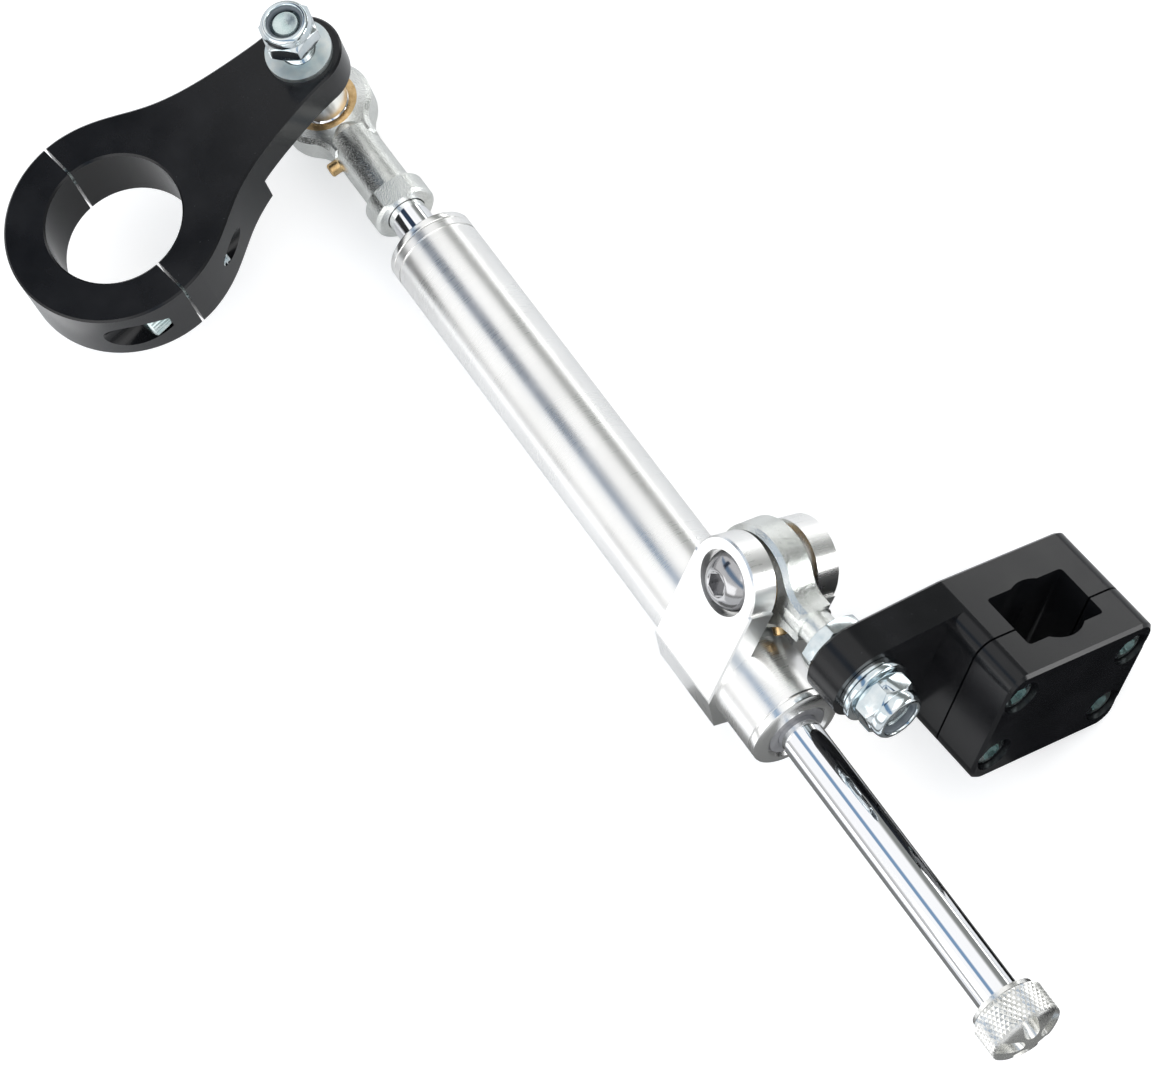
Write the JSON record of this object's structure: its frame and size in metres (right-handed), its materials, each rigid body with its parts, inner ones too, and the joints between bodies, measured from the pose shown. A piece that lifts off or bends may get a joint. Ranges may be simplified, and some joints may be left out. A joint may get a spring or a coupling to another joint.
{
  "type": "motorcycle steering damper",
  "caption": "Through-rod hydraulic steering damper with a fork clamp and a frame clamp, each on a spherical rod end, and an adjuster knob on the rod.",
  "frame": {"origin": "middle of the fork clamp's bore, halfway up the clamp", "axes": "+Z along the fork clamp's bore towards the locknut, +X along the damper towards the knob"},
  "size_m": [0.3842, 0.1991, 0.0785],
  "materials": {
    "black_anodised": "black anodised, satin",
    "satin_aluminium": "clear anodised, satin",
    "polished_chrome": "mirror polished",
    "zinc_plated": "bright zinc plated",
    "forged_zinc": "forged, zinc plated",
    "polished_steel": "polished",
    "knurled_aluminium": "knurled rim, satin face",
    "brass": "machined",
    "nylon": "smooth",
    "bronze_bush": "machined",
    "seal_rubber": "smooth",
    "ptfe_band": "smooth"
  },
  "bodies": {
    "fork_clamp": {"fork_arm": "black_anodised", "fork_cap": "black_anodised", "fork_screws": "zinc_plated", "fork_bolt": "zinc_plated", "spacer": "satin_aluminium", "fork_washer": "zinc_plated", "fork_locknut": "zinc_plated", "fork_nut_insert": "nylon"},
    "upper_ball": {"upper_ball": "polished_chrome"},
    "rod": {"upper_housing": "forged_zinc", "upper_race": "brass", "upper_nipple": "brass", "piston_rod": "polished_chrome", "piston": "satin_aluminium"},
    "piston_band": {"piston_band": "ptfe_band"},
    "knob": {"knob": "knurled_aluminium", "adjuster_needle": "polished_steel"},
    "cylinder": {"tube": "satin_aluminium", "upper_cap": "satin_aluminium", "lower_cap": "satin_aluminium", "rod_seals": "seal_rubber", "rod_bushes": "bronze_bush", "body_clamp": "satin_aluminium", "pivot_screw": "polished_steel"},
    "lower_ball": {"lower_ball": "polished_chrome"},
    "frame_clamp": {"lower_housing": "forged_zinc", "lower_race": "brass", "lower_nipple": "brass", "jam_nut": "zinc_plated", "stud_washers": "zinc_plated", "stud_locknut": "zinc_plated", "stud_nut_insert": "nylon", "frame_block": "black_anodised", "frame_cap": "black_anodised", "frame_screws": "zinc_plated"}
  },
  "joints": [
    {"name": "upper_swing", "type": "hinge", "parent": "fork_clamp", "child": "upper_ball", "pos_m": [-0.01136, 0.07211, -0.02487], "axis": [0, 0, 1], "range_deg": [-36, 230]},
    {"name": "upper_tilt", "type": "hinge", "parent": "upper_ball", "child": "rod", "pos_m": [-0.01136, 0.07211, -0.02487], "axis": [0, 1, 0], "range_deg": [-4, 14]},
    {"name": "knob_turn", "type": "hinge", "parent": "rod", "child": "knob", "pos_m": [0.33725, 0.07211, 0.00747], "axis": [0.9957, 0, 0.0924], "range_deg": [-165, 165]},
    {"name": "cylinder_turn", "type": "hinge", "parent": "rod", "child": "piston_band", "pos_m": [0.18679, 0.07211, -0.00649], "axis": [0.9957, 0, 0.0924], "continuous": true},
    {"name": "stroke", "type": "slide", "parent": "piston_band", "child": "cylinder", "axis": [0.9957, 0, 0.0924], "range_m": [-0.011, 0.092]},
    {"name": "lower_swing", "type": "hinge", "parent": "cylinder", "child": "lower_ball", "pos_m": [0.20791, 0.08898, 0.01879], "axis": [-0.0543, -0.809, 0.5853], "range_deg": [-2, 180]},
    {"name": "lower_tilt", "type": "hinge", "parent": "lower_ball", "child": "frame_clamp", "pos_m": [0.20791, 0.08898, 0.01879], "axis": [-0.1084, 0.5371, 0.8365], "range_deg": [-10, 2.5]}
  ]
}
